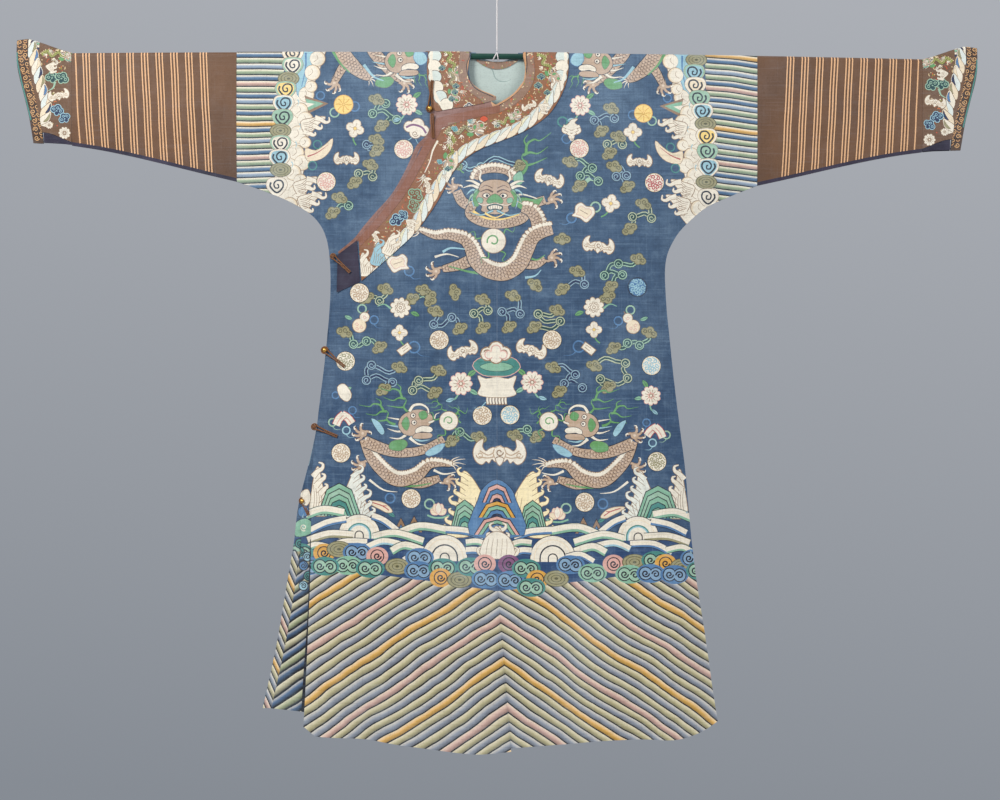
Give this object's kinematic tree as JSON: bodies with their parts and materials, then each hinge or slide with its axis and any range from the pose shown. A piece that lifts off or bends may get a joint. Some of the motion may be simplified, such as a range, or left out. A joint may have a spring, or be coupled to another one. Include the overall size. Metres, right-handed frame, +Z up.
{
  "type": "chinese dragon robe on a hanging rod",
  "caption": "Long silk dragon robe with a curved side lap, narrow striped sleeves and flared cuffs, hung flat on a rod by a cord.",
  "frame": {"origin": "inside the top bend of the cord loop that the rod and robe hang by, on the robe's middle line", "axes": "+X to the wearer's left along the rod, +Y to the robe's back, so its front faces -Y, +Z up"},
  "size_m": [1.918, 0.071, 1.5447],
  "materials": {
    "robe_silk": "blue tapestry-woven silk with flat coloured ornament, semi-matt, worn at the folds",
    "sleeve_silk": "brown silk with fine gold and black stripes, low sheen",
    "brocade": "reddish brown patterned silk, low sheen",
    "binding_silk": "brown narrow woven silk with tan scrolls",
    "plain_band": "plain reddish brown silk, low sheen",
    "navy_silk": "plain dark navy silk, low sheen",
    "lining_silk": "pale blue plain silk",
    "gilt": "worn gilt brass",
    "loop_cord": "reddish brown silk cord",
    "rod_paint": "dark green gloss paint",
    "hanging_cord": "white braided cord, matt"
  },
  "bodies": {
    "root": {"front_left": "robe_silk", "front_right": "robe_silk", "front_overlap": "robe_silk", "back_left": "robe_silk", "back_right": "robe_silk", "back_right_fold": "robe_silk", "sleeve_left": "sleeve_silk", "sleeve_right": "sleeve_silk", "cuff_left": "brocade", "cuff_right": "brocade", "cuff_binding_left": "binding_silk", "cuff_binding_right": "binding_silk", "under_cuff_left": "navy_silk", "under_cuff_right": "navy_silk", "lap_end": "navy_silk", "collar_outer": "brocade", "collar_inner": "brocade", "collar_back": "brocade", "band_outer": "plain_band", "band_inner": "plain_band", "band_back": "plain_band", "neck_facing": "plain_band", "lining_yoke": "lining_silk", "button_1": "gilt", "button_2": "gilt", "button_3": "gilt", "button_4": "gilt", "button_5": "gilt", "loop_1": "loop_cord", "loop_2": "loop_cord", "loop_3": "loop_cord", "loop_4": "loop_cord", "loop_5": "loop_cord", "neck_tab": "loop_cord", "rod": "rod_paint", "cord_hitch": "hanging_cord", "hanging_cord": "hanging_cord", "cord_knot": "hanging_cord", "cord_loop": "hanging_cord"}
  },
  "joints": []
}
